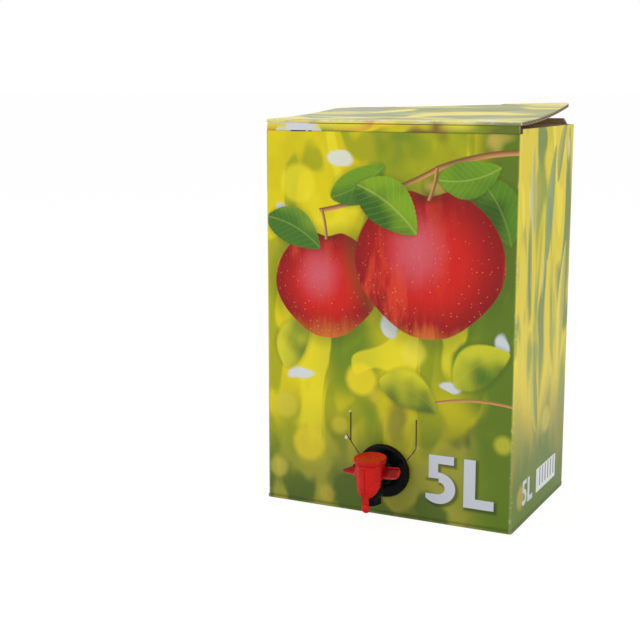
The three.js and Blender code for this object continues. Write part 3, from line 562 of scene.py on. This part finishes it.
picture = shadow.step(-0.0004, 0.0022, 0.7, 0).mix(picture, colour(44, 54, 16))
picture = lettering.step(-0.00012, 0.00012, 1, 0).mix(picture, colour(196, 200, 210))
side = side_print(place, y, z)
right = (x - 0.05).step(0, 0.001)
mark = volume_mark(y, z, *side_mark)
side = (mark.step(-0.00012, 0.00012, 1, 0) * right).mix(side, colour(208, 212, 220))
patch = bar(y, z, (-0.007, 0.0130), (0.039, 0.0300))
stripe_pitch = 0.0065
stripes = (y * (2 * math.pi / stripe_pitch)).sum("SINE").step(0.1, 0.3)
stripes = stripes * bar(y, z, (-0.004, 0.0162), (0.036, 0.0292)).step(-0.0001, 0, 1, 0)
stripes = stripes.mix(colour(232, 234, 236), colour(150, 156, 160))
side = (patch.step(-0.00012, 0.00012, 1, 0) * right).mix(side, stripes)
printed = on_side.mix(picture, side)
back = (y - half_depth + corner * 0.6).step(-0.0004, 0.0004)
printed = (back * (1 - on_side)).mix(printed, side_print(place, x, z))
rub = place.noise(340, 3.0, 0.7)
fold = reach_x.least(reach_y).step(0.0004, 0.0010)
low_edge = z.step(0.0004, 0.0016, 1, 0)
# Painted shade: a darker band just above the foot, where the board is dented.
dent_shade = z.step(0.0022, 0.0040, 1, 0) * z.step(0.0012, 0.0020) * 0.45
printed = dent_shade.mix(printed, colour(52, 60, 20))
# Pale along the upright corner creases and in dashes along the foot: partly worn print, partly a painted highlight
# of the sheen on the creases.
wear_and_sheen = (fold.most(low_edge * 0.45) * rub.step(0.54, 0.68) * 0.55).most(fold * 0.14)
printed = wear_and_sheen.mix(printed, colour(214, 212, 176))
under = (z - 0.0003).step(-0.0002, 0.0002, 1, 0)
printed = under.mix(printed, colour(156, 132, 96))
raw = board_edge(place, x + y, skin * -1)
finish_print(shader, place, printed, raw, outside, inside_face)
dress(carton, board_print)


# Lid: the same board, hinged on the front crease and curled up towards its back.
# Its cut edges at both sides and at the back show the fluting, and its underside is plain liner.
lid = finished("lid_flap", "lid", 0.00015)
lid_print, shader, place = new_material("lid_print", Coat_Roughness=0.15, Specular_IOR_Level=0.22)
x, y, z = split(place)
depth = (y + half_depth).most(0) / 0.112
rise = depth.sum("POWER", 1.8) * ((x + half_width) / (2 * half_width) * 0.0051 + 0.0056)
lid_height = 0.269
level = z - rise - lid_height
ahead = y * -1 - half_depth
fold = (ahead + 0.0030).step(0, 0.0002) * (abs(x) - half_width + 0.0006).step(0, 0.0002, 1, 0)
fold = fold * (level + 0.0022).step(-0.0003, 0)
outside = (level + skin_depth).step(-0.00005, 0.00005).most(fold).most((ahead + 0.0004).step(0, 0.0002))
under = (level + liner_depth).step(-0.00005, 0.00005, 1, 0)
printed = top_print(place, x, y)
printed = (ahead + 0.0012).step(0, 0.0008).mix(printed, strip_print(place, x, z))
# Pale line along the front crease: partly worn print, partly a painted highlight of the sheen on the crease.
rub = place.noise(300, 3.0, 0.7, stretch=(0.4, 1, 1))
crease = abs(y + half_depth - 0.0012).step(0.0004, 0.0016, 1, 0)
printed = (crease * rub.step(0.42, 0.62) * 0.7).most(crease * 0.3).mix(printed, colour(230, 228, 206))
raw = board_edge(place, x + y, level * -1)
finish_print(shader, place, printed, raw, outside, under)
dress(lid, lid_print)


# Tap: four hard mouldings and two soft ones, all with softened edges.
# The body is black, the lever with its cap and wings is red, the gland and stem are natural white.
# The lever has painted shade inside its wings and its cap's dish, and a painted highlight down the left of its
# sleeve.
def moulded(name, low, high, roughness, **sockets):
    """Moulded plastic: colour that varies a little, fine grain and soft flow marks."""
    material, shader, place = new_material(name, **sockets)
    flow = place.noise(120, 3.0, 0.55)
    feed(shader, "Base Color", flow.step(0.3, 0.7).mix(low, high))
    feed(shader, "Roughness", flow.step(0.25, 0.75, roughness - 0.05, roughness + 0.07))
    press(shader, place.noise(1500, 2.0, 0.5) * 0.3 + flow, 0.12, 0.0003)
    return material


black = moulded("black_moulding", colour(2, 5, 4), colour(6, 13, 10), 0.3, Specular_IOR_Level=0.09)
red = moulded("red_moulding", colour(180, 8, 4), colour(200, 14, 6), 0.26, Specular_IOR_Level=0.2)
natural = moulded("white_moulding", colour(226, 226, 220), colour(238, 238, 234), 0.4)
rubber = moulded("soft_rubber", colour(204, 200, 190), colour(218, 214, 204), 0.6)
for node, body, bevel, material in (
    ("tap_body", "box", 0.0003, black), ("tap_lever", "lever", 0.0003, red), ("bag_gland", "box", 0.0002, natural),
    ("valve_stem", "valve", 0.00015, natural), ("valve_plug", "valve", 0.00015, rubber),
    ("tap_diaphragm", "box", 0.00015, rubber),
):
    piece = finished(node, body, bevel)
    dress(piece, material)
    if node == "tap_lever":
        wing_foot = min(point.co.z for point in piece.data.vertices if abs(point.co.x) > 0.016)
shader = red.node_tree.nodes["Principled BSDF"]
even_red = Ink(red.node_tree, shader.inputs["Base Color"].links[0].from_socket)
place = even_red.node("TexCoord", {}, out=3)
x, y, z = split(place)
# Painted shade inside the wings and in the cap's dish, and a painted highlight down the left of the sleeve.
hollow = abs(x).step(0.0098, 0.0108) * abs(x).step(0.0188, 0.0202, 1, 0)
hollow = hollow * (z - wing_foot).step(0.0014, 0.0024)
shaded = (hollow * 0.75).mix(even_red, colour(104, 2, 0))
dish_x, dish_y = x + 0.0022, y + 0.0857
dish = (dish_x * dish_x + dish_y * dish_y).sum("SQRT").step(0.0008, 0.0042, 0.55, 0)
shaded = (dish * z.step(0.040, 0.041)).mix(shaded, colour(128, 4, 2))
from_left = x + 0.0105
lit = from_left.step(0.0010, 0.0034, 0.3, 0) * (0.0405 - z).step(0, 0.001) * from_left.step(0, 0.0004)
shaded = (z.step(0.0412, 0.0418) * 0.4).mix(shaded, colour(186, 2, 8))
feed(shader, "Base Color", lit.mix(shaded, colour(232, 96, 86)))


# Filled bag: clear film, welded round the gland and pressed into the carton's form by the drink.
# Its film lies in small creases.
bag = finished("liner_bag", "box", 0)
bpy.ops.object.select_all(action="DESELECT")
bag.select_set(True)
bpy.context.view_layer.objects.active = bag
even = bag.modifiers.new("even_skin", "REMESH")
even.mode = "VOXEL"
even.voxel_size = 0.0035
bpy.ops.object.modifier_apply(modifier="even_skin")
creases = bpy.data.textures.new("film_creases", "CLOUDS")
creases.noise_scale = 0.028
creases.noise_depth = 3
crumple = bag.modifiers.new("film_creases", "DISPLACE")
crumple.texture = creases
crumple.texture_coords = "GLOBAL"
film_relief = 0.0045
crumple.strength = film_relief
crumple.mid_level = 1.0
bpy.ops.object.modifier_apply(modifier="film_creases")
bpy.ops.object.shade_smooth()
film, shader, place = new_material("bag_film", Roughness=0.16, IOR=1.5, Coat_Weight=0.6, Coat_Roughness=0.06)
haze = place.noise(40, 3.0, 0.6, distortion=1.0)
feed(shader, "Base Color", haze.mix(colour(196, 200, 188), colour(232, 234, 228)))
creasing = place.noise(90, 4.0, 0.6, distortion=1.6)
press(shader, creasing, 0.55, 0.0012)
dress(bag, film)


bpy.context.scene.view_settings.view_transform = "Standard"
